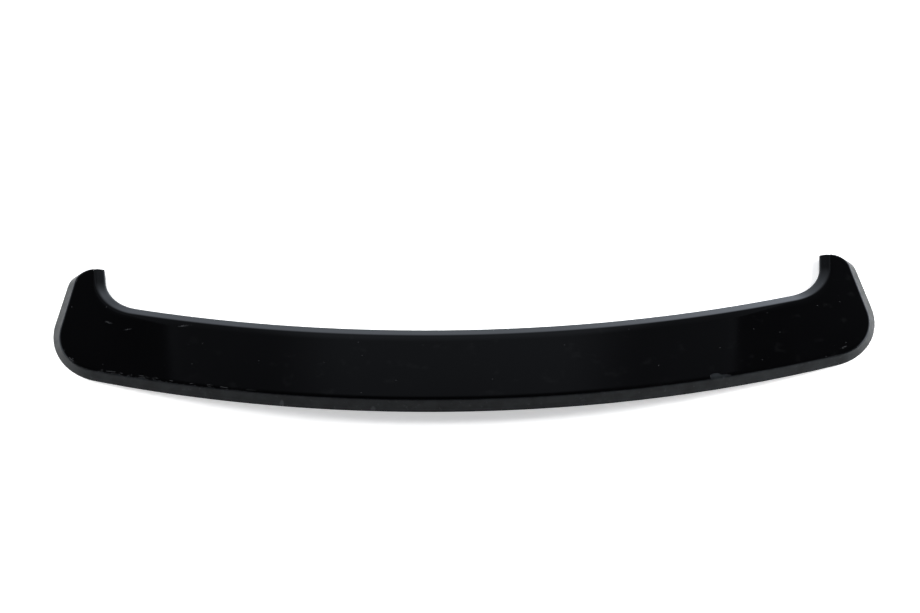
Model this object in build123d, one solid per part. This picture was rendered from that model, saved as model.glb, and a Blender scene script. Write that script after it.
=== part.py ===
"""Car spoiler for the top rear edge of a tailgate.

One open-bottomed moulding, crowned across the car, whose two ends run forward as horns.
Brass inserts in bosses on its underside take the fixing screws.
Millimetres. X runs across the car, Y forward from the trailing edge, Z up.
Until the last step, zero height is the rim at the middle of the trailing edge.
"""
import os
from math import cos, degrees, radians, sqrt, tan

from build123d import *

# Crown: the whole part follows one big circle across the car
crown_radius = 9000.0

# Plan outline, taken at zero height
trailing_radius = 1640.0
corner_radius = 69.0
tip_half_width = 550.0
tip_y = 274.0
tip_radius = 27.0
side_lean = 7.8

# Lean of the walls as they rise, and what the rear corners lose in radius for each millimetre of height
rear_draft = 20.5
side_draft = 45.0
tip_draft = 15.0
corner_tightening = 1.64

# Top panel heights over the rim at three stations: trailing edge, middle, horn tips
panel_station = 135.0
rear_height = 20.0
middle_height = 15.0
tip_height = 11.5

# Front edge and the notch between the horns, which opens out towards the tips
front_y = 135.0
front_radius = 1785.0
horn_width = 31.0
notch_lean = 9.0
notch_radius = 67.0
bevel_run = 14.0
bevel_drop = 5.2
notch_half_width = tip_half_width - horn_width

# Edges and wall
edge_radius = 4.0
bevel_foot_radius = 2.0
wall = 3.0

# Stiffening ribs under the panel
rib_wall = 2.0
rib_setback = 3.0
cross_rib_pitch = 82.0
cross_rib_pairs = 6
long_rib_y = 68.0
horn_rib_inset = 21.0
horn_rib_tip_gap = 16.0
horn_rib_spacing = 60.0

# Brass inserts for M5 screws
thread_radius = 2.1
insert_radius = 3.5
insert_length = 8.0
flange_radius = 4.5
flange_depth = 0.8
insert_clearance = 0.05
insert_end_gap = 0.5
boss_wall = 2.5

# Cross ribs that carry the fixing bosses and the locating pins, counted outward from the middle
inner_fixing_rib = 1
pin_rib = 3
outer_fixing_rib = 4

# Locating pins
pin_radius = 4.0
pin_boss_wall = 2.0
pin_length = 9.0
pin_lead = 1.5

# Heights between which the raw solids are drawn, and how far they run past the part
low_level = -30.0
high_level = 30.0
margin = 60.0


def crown_drop(x):
    """Fall of the crown at one distance from the middle of the car."""
    return crown_radius - sqrt(crown_radius**2 - x**2)


def panel_height(y):
    """Height of the panel over the rim at the middle of the car: a parabola through three stations."""
    step = y / panel_station
    rise = middle_height - rear_height
    bend = (tip_height - 2 * middle_height + rear_height) / 2
    return rear_height + (rise - bend) * step + bend * step**2


def outline(level, inset):
    """Plan face of the outer walls at one height, with the notch still filled in."""
    slope = tan(radians(side_lean))
    side_shift = tan(radians(side_draft)) * level
    side_inset = inset / cos(radians(side_draft)) / cos(radians(side_lean))
    rear = tan(radians(rear_draft)) * level + inset / cos(radians(rear_draft))
    tip = tip_y - tan(radians(tip_draft)) * level - inset / cos(radians(tip_draft))
    reach = tip_half_width + slope * tip_y - side_shift - side_inset
    radius = trailing_radius - inset
    centre = rear + radius
    # The side line meets the trailing circle at the sharp corner
    a = 1 + slope**2
    b = reach * slope + centre
    c = reach**2 + centre**2 - radius**2
    corner_y = (b - sqrt(b**2 - a * c)) / a
    corner_x = reach - slope * corner_y
    tip_x = reach - slope * tip
    trailing = ThreePointArc((-corner_x, corner_y), (0, rear), (corner_x, corner_y))
    rest = Polyline((corner_x, corner_y), (tip_x, tip), (-tip_x, tip), (-corner_x, corner_y))
    face = make_face([trailing, rest])
    corners = face.vertices().filter_by(lambda v: v.Y < tip - 1)
    face = fillet(corners, corner_radius - corner_tightening * level - inset)
    tips = face.vertices().filter_by(lambda v: abs(v.Y - tip) < 0.01)
    face = fillet(tips, tip_radius - inset)
    return Pos(0, 0, level) * face


def crowned_slab(base, inset):
    """Crowned slice from the rim surface, raised by base, up to the panel, lowered by inset."""
    near = -margin
    far = tip_y + margin
    middle = (near + far) / 2
    near_top = (0, near, panel_height(near) - inset)
    middle_top = (0, middle, panel_height(middle) - inset)
    far_top = (0, far, panel_height(far) - inset)
    top = ThreePointArc(far_top, middle_top, near_top)
    rest = Polyline(near_top, (0, near, base), (0, far, base), far_top)
    axis = Axis((0, 0, -crown_radius), (0, 1, 0))
    half_sweep = degrees((tip_half_width + 2 * margin) / crown_radius)
    face = make_face([top, rest])
    return revolve(face, axis, 2 * half_sweep).rotate(axis, -half_sweep)


def notch(grow):
    """Space between the horns, in front of the front edge."""
    slope = tan(radians(notch_lean))
    rear = front_y - grow
    radius = front_radius + grow
    centre = rear + radius
    foot = notch_half_width + grow / cos(radians(notch_lean)) - slope * tip_y
    # The inner line of the horn meets the front circle at the sharp corner
    a = 1 + slope**2
    b = centre - foot * slope
    c = foot**2 + centre**2 - radius**2
    corner_y = (b - sqrt(b**2 - a * c)) / a
    corner_x = foot + slope * corner_y
    far = tip_y + 2 * margin
    far_x = foot + slope * far
    front = ThreePointArc((-corner_x, corner_y), (0, rear), (corner_x, corner_y))
    rest = Polyline((corner_x, corner_y), (far_x, far), (-far_x, far), (-corner_x, corner_y))
    face = make_face([front, rest])
    corners = face.vertices().filter_by(lambda v: v.Y < far - 1)
    face = fillet(corners, notch_radius + grow)
    return extrude(Pos(0, 0, low_level) * face, high_level - low_level)


def rim_height(edge):
    """Height of an edge's middle over the crowned rim surface."""
    middle = edge @ 0.5
    return middle.Z + crown_drop(middle.X)


def on_notch(edge):
    """True for an edge of the panel that runs along the notch."""
    middle = edge @ 0.5
    return abs(middle.X) < tip_half_width and middle.Y > front_y - wall - 0.5


def panel_of(solid):
    """The big top face."""
    return max(solid.faces(), key=lambda face: face.area * (face.normal_at().Z > 0.5))


def blank(inset, base):
    """Spoiler before its notch is cut: drafted walls under the crowned panel."""
    walls = loft([outline(low_level, inset), outline(high_level, inset)], ruled=True)
    return walls & crowned_slab(base, inset)


def front_form(inset, base):
    """Crowned slab, still without its outer walls, with the notch and the front bevel."""
    solid = crowned_slab(base, inset) - notch(inset)
    panel = panel_of(solid)
    front = panel.edges().filter_by(on_notch)
    return chamfer(front, bevel_run, bevel_drop, reference=panel)


def body(inset, base):
    """Spoiler with its notch and front bevel; an inset draws the same form inside the walls."""
    return blank(inset, base) & front_form(inset, base)


def outer_body():
    """Outside of the moulding with its rounded edges."""
    full = blank(0, 0)
    rounded = fillet(panel_of(full).edges(), edge_radius)
    solid = rounded & front_form(0, 0)
    walls = solid.faces().filter_by(lambda face: abs(face.normal_at().Z) < 0.01)
    feet = walls.edges().filter_by(lambda edge: rim_height(edge) > rib_setback and abs((edge % 0.5).Z) < 0.5)
    return fillet(feet, bevel_foot_radius)


def rib_x(number):
    """Distance of one cross rib from the middle of the car."""
    return (number + 0.5) * cross_rib_pitch


def long_rib_line(x):
    """Y of the long rib, which follows the trailing edge."""
    return long_rib_y + trailing_radius - sqrt(trailing_radius**2 - x**2)


def horn_ribs():
    """Middle of a horn's ribs across the car, and the places of its two cross ribs along it."""
    x = notch_half_width + horn_rib_inset
    front = tip_y - horn_rib_tip_gap
    return x, front - horn_rib_spacing, front


def rib_plan():
    """Plan of all the stiffening ribs."""
    horn_x, horn_rear, horn_front = horn_ribs()
    centre = Pos(0, long_rib_y + trailing_radius)
    half_rib = rib_wall / 2
    ring = Circle(trailing_radius + half_rib) - Circle(trailing_radius - half_rib)
    window = Pos(0, tip_y / 2) * Rectangle(2 * tip_half_width + margin, tip_y + margin)
    plan = (centre * ring) & window
    for side in (-1, 1):
        for number in range(cross_rib_pairs):
            plan += Pos(side * rib_x(number), tip_y / 2) * Rectangle(rib_wall, tip_y + margin)
        for y in (horn_rear, horn_front):
            plan += Pos(side * horn_x, y) * Rectangle(2 * margin, rib_wall)
        plan += Pos(side * horn_x, tip_y) * Rectangle(rib_wall, 2 * (tip_y - horn_rear))
    return plan


def fixing_points():
    """Centres of the screw bosses on the local rim level."""
    points = []
    horn_x, horn_rear, horn_front = horn_ribs()
    for side in (-1, 1):
        for number in (inner_fixing_rib, outer_fixing_rib):
            x = rib_x(number)
            points.append((side * x, long_rib_line(x), -crown_drop(x)))
        points.append((side * horn_x, (horn_rear + horn_front) / 2, -crown_drop(horn_x)))
    return points


def pin_points():
    """Centres of the locating pins on the local rim level."""
    x = rib_x(pin_rib)
    return [(side * x, long_rib_line(x), -crown_drop(x)) for side in (-1, 1)]


def post(radius):
    """Upright round post that starts at its base point."""
    return extrude(Circle(radius), high_level)


def insert_hole():
    """Blind stepped hole for one insert, opening downward at its base point."""
    bore = extrude(Circle(insert_radius + insert_clearance), insert_length + insert_end_gap)
    seat = extrude(Circle(flange_radius + insert_clearance), flange_depth)
    return bore + seat


def locating_pin():
    """Pin below its base point, with a lead-in at its free end."""
    pin = Pos(0, 0, -pin_length) * extrude(Circle(pin_radius), pin_length + rib_setback)
    end = pin.edges().sort_by(Axis.Z)[0]
    return chamfer(end, pin_lead)


def spoiler_shell():
    """The moulding: outer form, hollow, ribs, bosses and pins."""
    inside = body(wall / 2, low_level / 2)
    above_setback = crowned_slab(rib_setback, 0)
    ribs = extrude(Pos(0, 0, low_level) * rib_plan(), high_level - low_level)
    ribs = ribs & inside & above_setback
    boss_radius = insert_radius + boss_wall
    pin_boss_radius = pin_radius + pin_boss_wall
    posts = [Pos(point) * post(boss_radius) for point in fixing_points()]
    posts += [Pos(point) * post(pin_boss_radius) for point in pin_points()]
    shell = outer_body() - body(wall, low_level / 2)
    shell += ribs
    for item in posts:
        shell += item & inside
    for point in pin_points():
        shell += Pos(point) * locating_pin()
    for point in fixing_points():
        shell -= Pos(point) * insert_hole()
    return shell.solid()


def threaded_insert():
    """Flanged brass bush with a threaded hole, its flange at the base point."""
    bush = extrude(Circle(insert_radius), insert_length)
    flange = extrude(Circle(flange_radius), flange_depth)
    return bush + flange - extrude(Circle(thread_radius), insert_length)


shell = spoiler_shell()
box = shell.bounding_box()
rest = Pos(-box.center().X, -box.center().Y, -box.min.Z)
inserts = Compound(children=[rest * Pos(point) * threaded_insert() for point in fixing_points()])

os.makedirs("parts", exist_ok=True)
export_step(rest * shell, "parts/spoiler_shell.step")
export_step(inserts, "parts/threaded_inserts.step")
print("moulding", box.size, "volume", round(shell.volume / 1000), "cubic centimetres")
print("rim in the middle of the trailing edge stands at", -box.center().Y, -box.min.Z)
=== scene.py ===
# %% [markdown]
# A car spoiler: one long moulding in satin black plastic whose top carries a gloss black film.
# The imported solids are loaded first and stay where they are. Everything added here is laid on them.
# All sizes below are in metres, in the same frame as the solids.

# %% Load the moulding
from math import atan2, cos, pi, radians, sin, sqrt, tan

import bmesh
import bpy
from mathutils import Matrix, Vector, noise


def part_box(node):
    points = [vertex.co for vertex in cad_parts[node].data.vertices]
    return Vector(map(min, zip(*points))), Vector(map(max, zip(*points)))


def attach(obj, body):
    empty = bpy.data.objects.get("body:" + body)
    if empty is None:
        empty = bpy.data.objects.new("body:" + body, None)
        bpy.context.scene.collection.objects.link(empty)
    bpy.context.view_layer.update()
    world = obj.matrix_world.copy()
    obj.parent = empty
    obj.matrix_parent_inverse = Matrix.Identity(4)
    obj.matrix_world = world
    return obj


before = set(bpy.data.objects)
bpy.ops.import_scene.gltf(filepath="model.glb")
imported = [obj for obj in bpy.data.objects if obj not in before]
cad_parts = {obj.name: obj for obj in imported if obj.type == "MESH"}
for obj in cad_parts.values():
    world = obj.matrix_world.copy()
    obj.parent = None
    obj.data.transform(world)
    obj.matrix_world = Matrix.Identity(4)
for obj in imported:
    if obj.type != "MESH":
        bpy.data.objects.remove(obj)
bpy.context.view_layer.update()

low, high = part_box("spoiler_shell")
print("moulding from", [round(v, 4) for v in low], "to", [round(v, 4) for v in high])

# %% [markdown]
# The film has to follow the moulding closely, so it needs the moulding's own form. A copy of the solid's
# triangles would do for the place, but its long thin triangles give a gloss surface uneven reflections.
# The form is simple enough to write down, so it is worked out again from its sizes.
# First comes the panel: a parabola along the car, which kicks up towards the trailing edge, and a crown
# across the car.

# %% Height of the panel
mm = 0.001
crown_radius = 9000 * mm
panel_station = 135 * mm
rear_height, middle_height, tip_height = 20 * mm, 15 * mm, 11.5 * mm


def crown_drop(x):
    """How far the crown has fallen at one distance from the middle."""
    return crown_radius - sqrt(crown_radius**2 - x**2)


def panel_z(x, y):
    """Height of the panel, from the parabola along the car and the crown across it."""
    forward = y / panel_station
    bend = (tip_height - 2 * middle_height + rear_height) / 2
    height = rear_height + (middle_height - rear_height - bend) * forward + bend * forward**2
    return sqrt((crown_radius + height)**2 - x**2) - crown_radius


# The rim's ends rest on the floor, and the trailing edge's middle is the rearmost point.
to_frame = Vector((0, low[1], crown_drop(high[0])))
print("trailing edge's middle at", [round(v, 4) for v in to_frame])

# %% [markdown]
# The outer walls lean, so the outline shrinks as it rises. It is worked out at two levels, and a point of
# the wall between them lies on the straight line from one to the other. Slices of the solid would give the
# same outline as loose points; circles and straight lines keep it exact.
# One number, the station, runs along half the outline: 0 to 1 on the trailing edge, 1 to 2 round the
# corner, 2 to 3 along the side and 3 to 4 round the horn's tip.

# %% Outline of the outer walls at one level
trailing_radius = 1640 * mm
corner_radius, corner_tightening = 69 * mm, 1.64
tip_half_width, tip_y, tip_radius = 550 * mm, 274 * mm, 27 * mm
side_lean = radians(7.8)
rear_draft, side_draft, tip_draft = radians(20.5), radians(45), radians(15)
low_level, high_level = -30 * mm, 30 * mm


def outline_at(level):
    """Circles and lines of half the outline at one level."""
    round_here = corner_radius - corner_tightening * level
    slope = tan(side_lean)
    out = Vector((1, slope)).normalized()
    reach = (tip_half_width + slope * tip_y - tan(side_draft) * level) / sqrt(1 + slope**2)
    centre = Vector((0, tan(rear_draft) * level + trailing_radius))
    along = Vector((-out.y, out.x))
    start = out * (reach - round_here)
    offset = start - centre
    b = offset.dot(along)
    gap = offset.dot(offset) - (trailing_radius - round_here)**2
    corner = start + along * (-b - sqrt(b * b - gap))
    ray = (corner - centre).normalized()
    tip_line = tip_y - tan(tip_draft) * level
    tip_cy = tip_line - tip_radius
    tip = Vector(((reach - tip_radius - out.y * tip_cy) / out.x, tip_cy))
    return {
        "centre": centre, "sweep": atan2(ray.x, -ray.y),
        "corner": corner, "round": round_here, "from": atan2(ray.y, ray.x), "to": atan2(out.y, out.x),
        "side": (corner + out * round_here, tip + out * tip_radius), "tip": tip,
    }


low_outline, high_outline = outline_at(low_level), outline_at(high_level)
print("corner rounds in mm:", [round(o["round"] / mm, 1) for o in (low_outline, high_outline)])

# %% Points on the outer walls
def on_circle(centre, radius, angle):
    return centre + radius * Vector((cos(angle), sin(angle)))


def outline_point(station, o):
    if station <= 1:
        angle = o["sweep"] * station
        return o["centre"] + trailing_radius * Vector((sin(angle), -cos(angle)))
    if station <= 2:
        return on_circle(o["corner"], o["round"], o["from"] + (o["to"] - o["from"]) * (station - 1))
    if station <= 3:
        return o["side"][0].lerp(o["side"][1], station - 2)
    return on_circle(o["tip"], tip_radius, o["to"] + (pi / 2 - o["to"]) * (station - 3))


def wall_point(station, z):
    share = (z - low_level) / (high_level - low_level)
    p = outline_point(station, low_outline).lerp(outline_point(station, high_outline), share)
    return Vector((p.x, p.y, z))


def sharp_edge(station):
    """Where the outer wall would meet the panel if the edge were not rounded."""
    z = middle_height
    for _ in range(8):
        p = wall_point(station, z)
        z = panel_z(p.x, p.y)
    return wall_point(station, z)


print("trailing edge meets the panel at", round(sharp_edge(0).z / mm, 1), "mm above the rim's middle")

# %% [markdown]
# Between the horns the front edge is cut back in a wide notch: a shallow arc, a round in each corner and a
# straight line along each horn. A bevel of one width runs along all of it. The bevel could be cut with a
# bevel operator, but its border has to lie on the grid's lines, so the notch's edge is moved sideways
# instead. Its stations run 0 to 1 on the arc, 1 to 2 round the corner and 2 to 3 along the horn.

# %% Corner of the notch
front_y, front_radius = 135 * mm, 1785 * mm
notch_half_width, notch_lean, notch_radius = 519 * mm, radians(9), 67 * mm
notch_centre = Vector((0, front_y + front_radius))
notch_out = Vector((cos(notch_lean), -sin(notch_lean)))
notch_along = Vector((sin(notch_lean), cos(notch_lean)))
notch_start = notch_out * (notch_out.dot(Vector((notch_half_width, tip_y))) - notch_radius)
notch_offset = notch_start - notch_centre
half_b = notch_offset.dot(notch_along)
notch_gap = notch_offset.dot(notch_offset) - (front_radius - notch_radius)**2
notch_corner = notch_start + notch_along * (-half_b - sqrt(half_b**2 - notch_gap))
notch_ray = (notch_corner - notch_centre).normalized()
notch_from, notch_to = atan2(notch_ray.y, notch_ray.x), -notch_lean
print("corner round of the notch about", [round(v, 4) for v in notch_corner])

# %% Points along the notch
bevel_run, bevel_drop = 14 * mm, 5.2 * mm
edge_radius = 4 * mm
tip_share, tip_clearance = 0.8, 0.3 * mm


def tip_wall_y(x, z):
    """Where the tip's wall stands at one height, on its straight part or its round."""
    share = (z - low_level) / (high_level - low_level)
    middle = low_outline["tip"].lerp(high_outline["tip"], share)
    return middle.y + sqrt(tip_radius**2 - max(0.0, x - middle.x)**2)


def notch_end(away):
    """Last point of the horn's inner line, moved away from the notch, just behind the tip's rounded edge."""
    depth = bevel_drop * (1 - min(1.0, away / bevel_run))
    under = max(0.0, edge_radius - depth)
    setback = tip_share * (edge_radius - sqrt(edge_radius**2 - under**2)) + tip_clearance
    p = notch_corner + notch_out * (notch_radius + away)
    y = tip_y
    for _ in range(5):
        x = p.x + (y - p.y) * tan(notch_lean)
        y = tip_wall_y(x, panel_z(x, y) - depth) - setback
    return Vector((x, y))


def notch_point(station, away):
    """Point of the notch's edge, moved away from the notch."""
    if station <= 1:
        angle = atan2(notch_ray.x, -notch_ray.y) * station
        return notch_centre + (front_radius + away) * Vector((sin(angle), -cos(angle)))
    if station <= 2:
        angle = notch_from + (notch_to - notch_from) * (station - 1)
        return on_circle(notch_corner, notch_radius + away, angle)
    start = notch_corner + notch_out * (notch_radius + away)
    return start.lerp(notch_end(away), station - 2)


print("horn's inner line ends at", [round(v, 4) for v in notch_end(0)])

# %% [markdown]
# Along the trailing edge the film has chipped. Each chip is a place where the film's border draws back from
# the rounded edge onto the panel. The deep bite near the right end is a single knock with a shallow shoulder;
# the long ragged stretch at the left end is a row of small flakes. Chips could be cut out of a finished film
# with cutters, but moving the border itself keeps the film one clean sheet.

# %% Chips in the film's border
bite = ((338 * mm, 8 * mm, 8.5 * mm), (345 * mm, 14 * mm, 4 * mm))
ragged_from, ragged_to = -545 * mm, -280 * mm
fine_depth, flake_depth = 0.7 * mm, 2.6 * mm


def border_setback(x):
    """How far the film's border draws back at one place along the trailing edge."""
    fine = max(0.0, noise.noise(Vector((x * 260, 3.1, 0))) + 0.15) * fine_depth
    inside = (x - ragged_from) * (ragged_to - x)
    if inside > 0:
        fade = min(1.0, (x - ragged_from) / (30 * mm), (ragged_to - x) / (60 * mm))
        flake = noise.noise(Vector((x * 95, 0.7, 2.0))) + 0.5 * noise.noise(Vector((x * 330, 5.2, 1.0)))
        fine += max(0.0, flake + 0.1) * flake_depth * fade
    for middle, half_width, depth in bite:
        across = (x - middle) / half_width
        if abs(across) < 1:
            rough = 1 + 0.18 * noise.noise(Vector((x * 700, 9.0, 4.0)))
            fine = max(fine, depth * sqrt(1 - across**4) * rough)
    return fine


print("bite in the border:", round(border_setback(bite[0][0]) / mm, 1), "mm deep")

# %% [markdown]
# The film starts as a flat grid. One direction of the grid runs along the part, from the left horn's tip to
# the right one; the other runs from the rounded outer edge over the panel and the front bevel and down the
# front wall. Each grid point is then laid on its own place on the moulding.
# A section of the film at one station begins at the rounded edge, so the directions there come first.

# %% Directions at the rounded edge
def edge_frame(station):
    """Sharp edge point with the directions into the panel and down the wall, both square to the edge."""
    nearby = 0.002
    ahead = sharp_edge(min(station + nearby, 4))
    behind = sharp_edge(max(station - nearby, 0))
    along = (ahead - behind).normalized()
    if station == 0:
        along = Vector((1, 0, 0))
    here = sharp_edge(station)
    h = 1 * mm
    rise_x = (panel_z(here.x + h, here.y) - panel_z(here.x - h, here.y)) / (2 * h)
    rise_y = (panel_z(here.x, here.y + h) - panel_z(here.x, here.y - h)) / (2 * h)
    up = Vector((-rise_x, -rise_y, 1)).normalized()
    inward = up.cross(along).normalized()
    down = wall_point(station, here.z - 5 * mm) - here
    down = (down - down.dot(along) * along).normalized()
    return here, inward, down


def panel_start(station):
    """Where the rounded outer edge runs out into the panel."""
    here, inward, down = edge_frame(station)
    return here + inward * edge_radius / tan(inward.angle(down) / 2)


# The panel between the outer edge and the bevel runs out on the tip's round: the film ends there.
bevel_soft = 1.2 * mm
bevel_end = notch_end(bevel_run + bevel_soft)
tip_stations = [3 + k / 60 for k in range(61)]
last_station = max(u for u in tip_stations if panel_start(u).x > bevel_end.x + tip_clearance)
print("film ends at station", round(last_station, 2))

# %% [markdown]
# The first half of a section goes over the rounded edge and the panel. Its rows are close together near the
# edge, where the chips are, and wide apart on the panel, which is nearly flat. Rows that a chip reaches all
# slide back to the chip's border, and merge there later.

# %% Section over the rounded edge and the panel
film_start = 0.3
arc_rows, near_rows, panel_rows = 6, 5, 9
near_reach, near_limit = 12 * mm, 0.9
last_chipped = 1.6


def drape(p):
    return Vector((p.x, p.y, panel_z(p.x, p.y)))


def outer_part(station, side, front):
    """Points over the rounded edge and the panel, and how far those near the edge are from the border."""
    here, inward, down = edge_frame(station)
    inner_angle = inward.angle(down)
    turn = pi - inner_angle
    middle = here + (inward + down).normalized() * edge_radius / sin(inner_angle / 2)
    reach = edge_radius / tan(inner_angle / 2)
    wall_end, panel_end = here + down * reach - middle, here + inward * reach - middle
    arc = edge_radius * turn
    bevel_top = notch_point(front, bevel_run + bevel_soft)
    rung = bevel_top - (middle + panel_end).xy
    near = min(near_reach, 0.5 * rung.length)

    def edge_path(t):
        if t <= arc:
            k = t / arc
            return middle + (wall_end * sin((1 - k) * turn) + panel_end * sin(k * turn)) / sin(turn)
        return drape((middle + panel_end).xy + rung.normalized() * (t - arc))

    border = film_start * arc
    if station < last_chipped:
        border += border_setback(side * here.x)
    border = min(border, arc + near_limit * near)
    ts = [arc * (film_start + (1 - film_start) * k / arc_rows) for k in range(arc_rows)]
    ts += [arc + near * k / near_rows for k in range(near_rows)]
    points = [edge_path(max(t, border)) for t in ts]
    from_border = [(max(t, border) - border) / mm for t in ts]
    start = (middle + panel_end).xy + rung.normalized() * near
    points += [drape(start.lerp(bevel_top, k / panel_rows)) for k in range(panel_rows)]
    points.append(drape(bevel_top))
    return points, from_border


# %% [markdown]
# The second half goes over the softened top of the front bevel, down the bevel, round its foot and down the
# front wall to just above the rim. The foot is an arc between two straight lines, found from its middle.

# %% Section over the front bevel and the front wall
bevel_rows, foot_rows = 6, 5
bevel_foot_radius = 2 * mm
rim_gap = 0.5 * mm


def bevel_point(station, away):
    top = drape(notch_point(station, bevel_run))
    foot = drape(notch_point(station, 0)) - Vector((0, 0, bevel_drop))
    return foot.lerp(top, away / bevel_run)


def front_part(front):
    """Points from the top of the bevel to the rim."""
    soft = drape(notch_point(front, bevel_run))
    points = [soft - Vector((0, 0, 0.1 * bevel_soft))]
    foot_angle = pi / 2 + atan2(bevel_drop, bevel_run)
    foot_reach = bevel_foot_radius / tan(foot_angle / 2)
    share = bevel_run / sqrt(bevel_run**2 + bevel_drop**2)
    away = bevel_run - bevel_soft
    for k in range(bevel_rows):
        points.append(bevel_point(front, away + (foot_reach * share - away) * k / bevel_rows))
    foot = bevel_point(front, 0)
    slope = (bevel_point(front, bevel_run) - foot).normalized()
    fall = Vector((0, 0, -1))
    hub = foot + (slope + fall).normalized() * bevel_foot_radius / sin(foot_angle / 2)
    first, last = foot + slope * foot_reach - hub, foot + fall * foot_reach - hub
    turn = pi - foot_angle
    for k in range(foot_rows):
        s = k / (foot_rows - 1)
        points.append(hub + (first * sin((1 - s) * turn) + last * sin(s * turn)) / sin(turn))
    points.append(Vector((foot.x, foot.y, rim_gap - crown_drop(foot.x))))
    return points


# %% [markdown]
# Stations lie close together on the trailing edge and round the corners, so that the small chips keep their
# shape, and wide apart along the short straight sides. The left half mirrors the right half's stations, but
# its sections are worked out on their own, because the chips differ from one side to the other.

# %% Stations along the part
trailing_steps, corner_steps, side_steps, tip_steps = 340, 70, 16, 14
far_from_border = 50.0


def film_section(station, side):
    """Points of the film from the rounded edge to the front wall, and how near each is to the border."""
    front = station if station <= 2 else 2 + (station - 2) / (last_station - 2)
    points, from_border = outer_part(station, side, front)
    points += front_part(front)
    from_border += [far_from_border] * (len(points) - len(from_border))
    return [Vector((side * p.x, p.y, p.z)) + to_frame for p in points], from_border


half = [k / trailing_steps for k in range(trailing_steps)]
half += [1 + k / corner_steps for k in range(corner_steps)]
half += [2 + k / side_steps for k in range(side_steps)]
half += [3 + (last_station - 3) * k / tip_steps for k in range(tip_steps + 1)]
stations = [(u, -1) for u in reversed(half[1:])] + [(u, 1) for u in half]
sections = [film_section(u, side) for u, side in stations]
rows = len(sections[0][0])
print(len(stations), "stations of", rows, "points")

# %% [markdown]
# Now the flat grid is made and each of its points is moved to its place. Every point also keeps its distance
# from the film's border, which the finish needs later. Rows that a chip has pushed together are merged, and
# the faces are turned so that they all look outwards.

# %% Lay the grid on the moulding
film = bmesh.new()
border_layer = film.verts.layers.float.new("from_border")
bmesh.ops.create_grid(film, x_segments=len(stations) - 1, y_segments=rows - 1, size=1)
for v in film.verts:
    i = round((v.co.x + 1) / 2 * (len(stations) - 1))
    j = round((v.co.y + 1) / 2 * (rows - 1))
    v.co = sections[i][0][j]
    v[border_layer] = sections[i][1][j]
bmesh.ops.remove_doubles(film, verts=film.verts, dist=0.02 * mm)
bmesh.ops.dissolve_degenerate(film, edges=film.edges, dist=0.01 * mm)
bmesh.ops.recalc_face_normals(film, faces=film.faces)
if sum(f.normal.z * f.calc_area() for f in film.faces) < 0:
    bmesh.ops.reverse_faces(film, faces=film.faces)
film.normal_update()
print("film sheet:", len(film.verts), "points,", len(film.faces), "faces")

# %% [markdown]
# A real film has a thickness, and at a chip that thickness shows as a small step. The sheet is lifted off the
# moulding by a hair, so that the two never share a surface, and is then extruded outwards. The solidify
# operator would do this in one go, but it throws spikes where a chip leaves very thin faces.

# %% Give the film its thickness
film_gap, film_thickness = 0.03 * mm, 0.27 * mm
for v in film.verts:
    v.co += v.normal * film_gap
film.normal_update()
sheet = film.faces[:]
lifted = bmesh.ops.extrude_face_region(film, geom=sheet, use_keep_orig=True)["geom"]
for v in lifted:
    if isinstance(v, bmesh.types.BMVert):
        v.co += v.normal * film_thickness
bmesh.ops.recalc_face_normals(film, faces=film.faces)
print("film volume in cm3:", round(film.calc_volume(signed=True) * 1e6, 2))

# %% Make the film a piece
def finish_piece(name, bm, sharp=40):
    mesh = bpy.data.meshes.new(name)
    bm.to_mesh(mesh)
    bm.free()
    mesh.shade_smooth()
    mesh.set_sharp_from_angle(angle=radians(sharp))
    piece = bpy.data.objects.new(name, mesh)
    bpy.context.scene.collection.objects.link(piece)
    return piece


gloss_film = finish_piece("gloss_film", film)
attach(gloss_film, "root")
print("piece:", gloss_film.name, "with", len(gloss_film.data.polygons), "faces")

# %% [markdown]
# The finishes are mixed from simple patterns in the part's own coordinates, so they stay with the part when
# it moves. Pictures wrapped round the part would need a flattened map of it; patterns need none.
# A few small helpers keep the recipes short. The first ones join a value or another pattern to a socket, do a
# sum, multiply, take the larger of two, make a soft step and mix two colours.

# %% Helpers for sums
def wire(tree, value, socket):
    if isinstance(value, bpy.types.NodeSocket):
        tree.links.new(value, socket)
    else:
        socket.default_value = value


def calc(tree, operation, a, b=0.0):
    n = tree.nodes.new("ShaderNodeMath")
    n.operation = operation
    wire(tree, a, n.inputs[0])
    wire(tree, b, n.inputs[1])
    return n.outputs[0]


def product(tree, a, b):
    return calc(tree, "MULTIPLY", a, b)


def larger(tree, a, b):
    return calc(tree, "MAXIMUM", a, b)


def step(tree, value, start, end, first=0.0, last=1.0):
    n = tree.nodes.new("ShaderNodeMapRange")
    n.interpolation_type = "SMOOTHSTEP"
    for socket, v in zip(n.inputs, (value, start, end, first, last)):
        wire(tree, v, socket)
    return n.outputs["Result"]


def blend(tree, share, a, b):
    n = tree.nodes.new("ShaderNodeMix")
    n.data_type = "RGBA"
    wire(tree, share, n.inputs[0])
    wire(tree, a, n.inputs[6])
    wire(tree, b, n.inputs[7])
    return n.outputs[2]


# %% [markdown]
# The other helpers make the patterns themselves: a random grain, a soft-edged mark at one place, and fine
# relief. The last one starts a new finish and hands over what every recipe needs.

# %% Helpers for patterns
def parts_of(tree, place):
    n = tree.nodes.new("ShaderNodeSeparateXYZ")
    tree.links.new(place, n.inputs[0])
    return n.outputs["X"], n.outputs["Y"], n.outputs["Z"]


def grain(tree, place, scale, detail=2.0):
    n = tree.nodes.new("ShaderNodeTexNoise")
    wire(tree, place, n.inputs["Vector"])
    n.inputs["Scale"].default_value = scale
    n.inputs["Detail"].default_value = detail
    return n.outputs[0]


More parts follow.
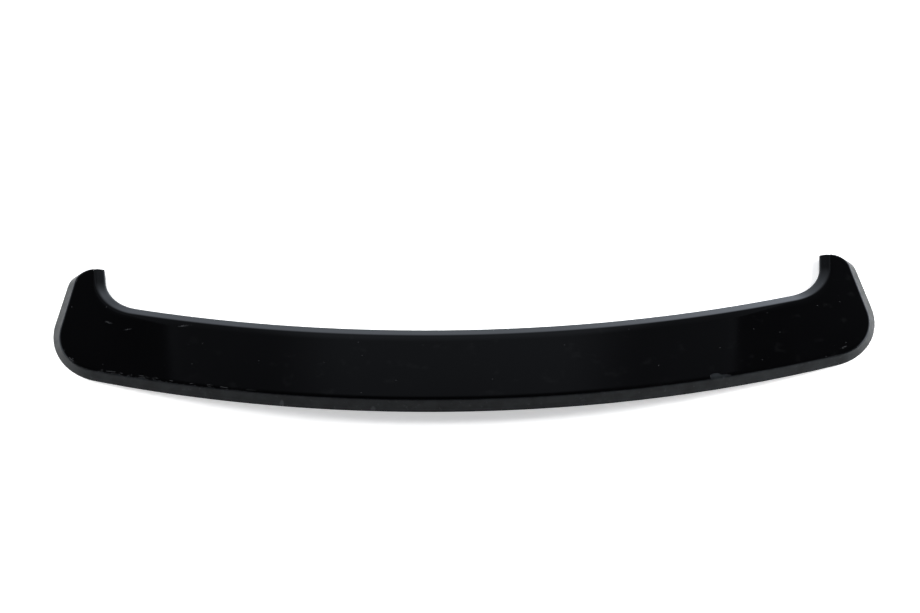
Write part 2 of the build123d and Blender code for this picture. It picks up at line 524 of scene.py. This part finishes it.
def mark(tree, place, at, size, turn=0.0):
    """One at the middle of a long spot, falling to nought at its edge."""
    n = tree.nodes.new("ShaderNodeMapping")
    n.vector_type = "TEXTURE"
    wire(tree, place, n.inputs["Vector"])
    n.inputs["Location"].default_value = (at[0], at[1], 0)
    n.inputs["Rotation"].default_value = (0, 0, turn)
    n.inputs["Scale"].default_value = (size[0], size[1], 1)
    x, y, _ = parts_of(tree, n.outputs[0])
    far = calc(tree, "ADD", calc(tree, "POWER", x, 2.0), calc(tree, "POWER", y, 2.0))
    return step(tree, far, 1.0, 0.3)


def add_bump(tree, surface, height, depth, strength):
    n = tree.nodes.new("ShaderNodeBump")
    n.inputs["Strength"].default_value = strength
    n.inputs["Distance"].default_value = depth
    wire(tree, height, n.inputs["Height"])
    tree.links.new(n.outputs[0], surface.inputs["Normal"])


def new_finish(name):
    material = bpy.data.materials.new(name)
    material.use_nodes = True
    tree = material.node_tree
    place = tree.nodes.new("ShaderNodeTexCoord").outputs["Object"]
    return material, tree, tree.nodes["Principled BSDF"], place


# %% [markdown]
# The film is gloss black: nearly no colour of its own, a clear reflection, and the faint waviness of a
# sprayed coat. Age shows first along its ragged border, as a pale lip where the film has torn. A little way
# in runs a thin broken pale line, a painted highlight: the light that the lifted edge of the film would
# catch.
# The distance from the border was kept on the film's points, so the lines can follow it; painted by hand they
# would have to be redrawn after every change of the border.

# %% Flaking and a painted highlight along the film's border
film_finish, tree, surface, place = new_finish("gloss_black_film")
across, _, _ = parts_of(tree, place)
border_node = tree.nodes.new("ShaderNodeAttribute")
border_node.attribute_name = "from_border"
from_border = border_node.outputs["Fac"]
highlight_line_at = 2.6
ragged = product(tree, step(tree, across, -0.270, -0.330), step(tree, across, -0.575, -0.545))
torn = step(tree, grain(tree, place, 210, 3), 0.48, 0.62)
torn_lip = product(tree, step(tree, from_border, 0.9, 0.2), torn)
# A thin broken pale line a little way in from the border: a painted highlight, where the lifted film edge
# would catch the light.
off_line = calc(tree, "ABSOLUTE", calc(tree, "SUBTRACT", from_border, highlight_line_at))
broken = step(tree, grain(tree, place, 75, 2), 0.52, 0.60)
lifted_edge_highlight = product(tree, step(tree, off_line, 0.75, 0.2), broken)
flaking_and_highlight = product(tree, larger(tree, torn_lip, lifted_edge_highlight), ragged)
print("flaking follows the border in", len(tree.nodes), "nodes")

# %% [markdown]
# A few rubbed spots sit at their own places. Dust is a scatter of tiny round specks, one in some of the cells
# of a random pattern, with more of them at the right end. Smudges are faint clouds.

# %% Rubbed spots, dust and smudges
rubbed_spots = (
    ((-0.5024, 0.0304), (0.0065, 0.0022), radians(-25)),
    ((-0.4743, 0.0153), (0.0070, 0.0016), radians(8)),
    ((-0.3940, 0.0165), (0.0110, 0.0018), radians(3)),
    ((0.5228, -0.0432), (0.0075, 0.0016), radians(28)),
)
rubs = 0.0
for at, size, turn in rubbed_spots:
    rubs = larger(tree, rubs, mark(tree, place, at, size, turn))
rubs = product(tree, rubs, step(tree, grain(tree, place, 420, 2), 0.35, 0.7))
cells = tree.nodes.new("ShaderNodeTexVoronoi")
cells.voronoi_dimensions = "2D"
cells.inputs["Scale"].default_value = 22.0
tree.links.new(place, cells.inputs["Vector"])
tone = tree.nodes.new("ShaderNodeSeparateColor")
tree.links.new(cells.outputs["Color"], tone.inputs[0])
often = calc(tree, "ADD", tone.outputs[0], step(tree, across, 0.25, 0.48, 0.0, 0.35))
speck = step(tree, cells.outputs["Distance"], 0.019, 0.011)
dust = product(tree, speck, step(tree, often, 0.62, 0.66))
smudges = step(tree, grain(tree, place, 45, 4), 0.60, 0.74)
smudges = product(tree, smudges, step(tree, across, -0.45, -0.30))
print("rubbed spots:", len(rubbed_spots))

# %% [markdown]
# All of this wear, and the painted highlight along the lifted edge, shares one pale tone, so it is gathered
# into one amount. The amount lightens the black and dulls the gloss at the same time, as real dust and
# scratches do.

# %% Gloss black film
pale = 0.0
# The flaking amount holds the painted highlight of the lifted film edge as well as the real torn lip.
for wear_and_highlight, amount in ((flaking_and_highlight, 0.10), (rubs, 0.09), (dust, 0.10), (smudges, 0.006)):
    pale = larger(tree, pale, product(tree, wear_and_highlight, amount))
tint = blend(tree, grain(tree, place, 9), (0.0006, 0.0006, 0.0007, 1), (0.0012, 0.0012, 0.0014, 1))
wire(tree, blend(tree, pale, tint, (0.24, 0.25, 0.26, 1)), surface.inputs["Base Color"])
haze = step(tree, grain(tree, place, 14, 3), 0.3, 0.75, 0.03, 0.06)
wire(tree, calc(tree, "ADD", haze, product(tree, pale, 0.6)), surface.inputs["Roughness"])
add_bump(tree, surface, grain(tree, place, 300, 1), 0.0001, 0.06)
gloss_film.data.materials.append(film_finish)
print(film_finish.name, "has", len(tree.nodes), "nodes")

# %% [markdown]
# Below the film's border the moulding is bare. It is dyed black plastic with the satin skin of a mould:
# a dull reflection, a fine grain and a slightly cloudy tone. Two nicks on the trailing rim have turned pale.
# Grain and relief this fine would cost millions of faces as geometry, so they are patterns.

# %% Bare satin plastic
plastic_finish, tree, surface, place = new_finish("satin_black_plastic")
cloud = step(tree, grain(tree, place, 55, 4), 0.3, 0.7)
tint = blend(tree, cloud, (0.006, 0.0068, 0.0075, 1), (0.012, 0.0136, 0.0148, 1))
nicks = larger(
    tree,
    mark(tree, place, (-0.2549, -0.1195), (0.0035, 0.0030)),
    mark(tree, place, (-0.1314, -0.1340), (0.0045, 0.0030)),
)
scuffs = step(tree, grain(tree, place, 160, 5), 0.60, 0.72)
pale = larger(tree, product(tree, scuffs, 0.10), product(tree, nicks, 0.25))
wire(tree, blend(tree, pale, tint, (0.11, 0.115, 0.12, 1)), surface.inputs["Base Color"])
wire(tree, step(tree, grain(tree, place, 90, 3), 0.3, 0.7, 0.30, 0.40), surface.inputs["Roughness"])
surface.inputs["Specular IOR Level"].default_value = 0.10
add_bump(tree, surface, grain(tree, place, 1400, 2), 0.00004, 0.25)
print(plastic_finish.name, "has", len(tree.nodes), "nodes")

# %% [markdown]
# The screw inserts under the part are turned from brass: rings left by the tool, and a little tarnish.
# The rings are a wave along the insert's axis, which is upright.

# %% Brass inserts
brass_finish, tree, surface, place = new_finish("turned_brass")
tarnish = step(tree, grain(tree, place, 240, 3), 0.35, 0.7)
tint = blend(tree, tarnish, (0.71, 0.50, 0.20, 1), (0.48, 0.31, 0.12, 1))
wire(tree, tint, surface.inputs["Base Color"])
wire(tree, step(tree, tarnish, 0.0, 1.0, 0.24, 0.42), surface.inputs["Roughness"])
surface.inputs["Metallic"].default_value = 1.0
rings = tree.nodes.new("ShaderNodeTexWave")
rings.bands_direction = "Z"
rings.inputs["Scale"].default_value = 700.0
tree.links.new(place, rings.inputs["Vector"])
add_bump(tree, surface, rings.outputs["Fac"], 0.00003, 0.3)

# %% Give the solids their finishes
for node, finish in (("spoiler_shell", plastic_finish), ("threaded_inserts", brass_finish)):
    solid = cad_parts[node]
    solid.data.materials.clear()
    solid.data.materials.append(finish)
print("finishes:", [m.name for m in (film_finish, plastic_finish, brass_finish)])

# %% [markdown]
# The part lies on a plain white floor, which keeps the part's soft shadow. More lamp light would whiten the
# ground as well, but it would also wash out the part. So the floor gets a glow of its own, which is seen by
# the camera and in reflections only.

# %% White floor
scene = bpy.context.scene
scene.view_settings.view_transform = "Standard"
floor_glow = 0.5
ground = bmesh.new()
bmesh.ops.create_grid(ground, x_segments=2, y_segments=2, size=8)
floor = finish_piece("floor", ground)
floor_finish, tree, surface, place = new_finish("white_floor")
surface.inputs["Roughness"].default_value = 1.0
surface.inputs["Specular IOR Level"].default_value = 0.0
paper = blend(tree, grain(tree, place, 3), (0.80, 0.80, 0.80, 1), (0.82, 0.82, 0.82, 1))
wire(tree, paper, surface.inputs["Base Color"])
path = tree.nodes.new("ShaderNodeLightPath")
seen = larger(tree, path.outputs["Is Camera Ray"], path.outputs["Is Glossy Ray"])
seen = larger(tree, seen, path.outputs["Is Transmission Ray"])
surface.inputs["Emission Color"].default_value = (1, 1, 1, 1)
wire(tree, product(tree, seen, floor_glow), surface.inputs["Emission Strength"])
floor.data.materials.append(floor_finish)
print("floor glow", floor_glow)

# %% [markdown]
# A gloss black part shows little but what it reflects, so the surroundings are drawn as a pattern of light.
# The studio is bright near the ground, which lights the front bevel; it dims upwards, which leaves the panel
# dark. Overhead it is dark, which draws the black line along the rounded trailing edge. A dim band behind the
# camera gives the panel some gloss when it is seen from the front.

# %% Brightness by height
world = bpy.data.worlds.new("studio")
scene.world = world
world.use_nodes = True
tree = world.node_tree
sky = tree.nodes["Background"]
way = tree.nodes.new("ShaderNodeTexCoord").outputs["Generated"]
side_way, ahead, height = parts_of(tree, way)


def falloff(tree, value, stops):
    """Brightness by height, from a list of heights and levels."""
    n = tree.nodes.new("ShaderNodeValToRGB")
    elements = n.color_ramp.elements
    elements[0].position, elements[1].position = stops[0][0], stops[-1][0]
    for e, (_, level) in zip((elements[0], elements[1]), (stops[0], stops[-1])):
        e.color = (level, level, level, 1)
    for at, level in stops[1:-1]:
        elements.new(at).color = (level, level, level, 1)
    tree.links.new(value, n.inputs[0])
    return n.outputs["Color"]


surround = falloff(tree, height, (
    (0, 1), (0.25, 0.95), (0.45, 0.62), (0.57, 0.30), (0.64, 0.05), (0.7, 0.012), (0.8, 0.008), (1, 0.005),
))
behind = falloff(tree, height, (
    (0, 0.7), (0.12, 0.35), (0.28, 0.03), (0.42, 0.05), (0.56, 0.17), (0.68, 0.08), (0.78, 0.01), (1, 0.005),
))
print("brightness by height in", len(tree.nodes), "nodes")

# %% [markdown]
# One dim wide screen stands ahead of the part. The middle of the panel picks it up, and its two upright edges
# show as the soft steps in the panel's tone. Pale cards stand at both sides, and the light near the ground is
# stronger on the right.

# %% Screen and cards
screen = falloff(tree, height, (
    (0, 0), (0.52, 0), (0.62, 0.16), (0.69, 0.21), (0.745, 0.10), (0.8, 0), (1, 0),
))
screen_middle = 0.0255
bearing = calc(tree, "DIVIDE", side_way, larger(tree, ahead, 0.05))
off_middle = calc(tree, "ABSOLUTE", calc(tree, "SUBTRACT", bearing, screen_middle))
screen = product(tree, screen, step(tree, off_middle, 0.11, 0.22, 1.0, 0.28))
screen = product(tree, screen, step(tree, off_middle, 0.310, 0.326, 1.0, 1.35))
screen = product(tree, screen, step(tree, off_middle, 0.3295, 0.3257))
in_front = step(tree, ahead, -0.15, 0.1)
level = product(tree, calc(tree, "ADD", surround, screen), in_front)
level = calc(tree, "ADD", level, product(tree, behind, calc(tree, "SUBTRACT", 1.0, in_front)))
to_side = step(tree, calc(tree, "ABSOLUTE", side_way), 0.60, 0.85)
cards = product(tree, to_side, step(tree, height, 0.26, 0.12))
level = larger(tree, level, product(tree, cards, 1.2))
low_right = product(tree, step(tree, side_way, 0.04, 0.2), step(tree, height, 0.6, 0.4))
level = product(tree, level, calc(tree, "ADD", 1.0, low_right))
sky.inputs["Color"].default_value = (0.90, 0.99, 1.12, 1)
wire(tree, level, sky.inputs["Strength"])
print("studio has", len(tree.nodes), "nodes")

# %% [markdown]
# Two large soft lamps stand at the sides and light the floor. Two smaller ones stand low and light the satin
# band round the rear corners. All are kept out of reflections, where they would draw hard white spots.

# %% Lamps
def soft_lamp(name, place, size, power):
    data = bpy.data.lights.new(name, "AREA")
    data.size = size
    data.energy = power
    lamp = bpy.data.objects.new(name, data)
    lamp.location = place
    lamp.rotation_euler = (-Vector(place)).to_track_quat("-Z", "Y").to_euler()
    lamp.visible_glossy = False
    scene.collection.objects.link(lamp)


soft_lamp("left_lamp", (-2.7, 0.9, 1.4), 1.8, 85)
soft_lamp("right_lamp", (2.7, 0.9, 1.4), 1.8, 115)
soft_lamp("low_left_lamp", (-2.5, 0.2, 0.5), 0.8, 72)
soft_lamp("low_right_lamp", (2.5, 0.2, 0.5), 0.8, 125)
print("lamps:", [lamp.name for lamp in bpy.data.lights])

# %% [markdown]
# The camera looks down at the trailing edge from half height, with a long lens and a trace of roll. Its place
# follows from where it looks, from which side and how far off, so each of these can be changed by itself.

# %% Camera
elevation, azimuth, roll = radians(50), radians(-2.157), radians(0.476)
distance = 2.6
target = Vector((-0.00753, 0.06225, 0))
focal_px, picture_px = 1818.5, 920
back = Vector((sin(azimuth) * cos(elevation), -cos(azimuth) * cos(elevation), sin(elevation)))
right = Vector((cos(azimuth), sin(azimuth), 0))
up = back.cross(right)
lens = bpy.data.cameras.new("camera")
lens.sensor_width = 36
lens.lens = lens.sensor_width * focal_px / picture_px
camera = bpy.data.objects.new("camera", lens)
turn = Matrix((cos(roll) * right + sin(roll) * up, cos(roll) * up - sin(roll) * right, back))
camera.matrix_world = Matrix.Translation(target + back * distance) @ turn.transposed().to_4x4()
scene.collection.objects.link(camera)
scene.camera = camera
print("lens", round(lens.lens, 2), "mm")
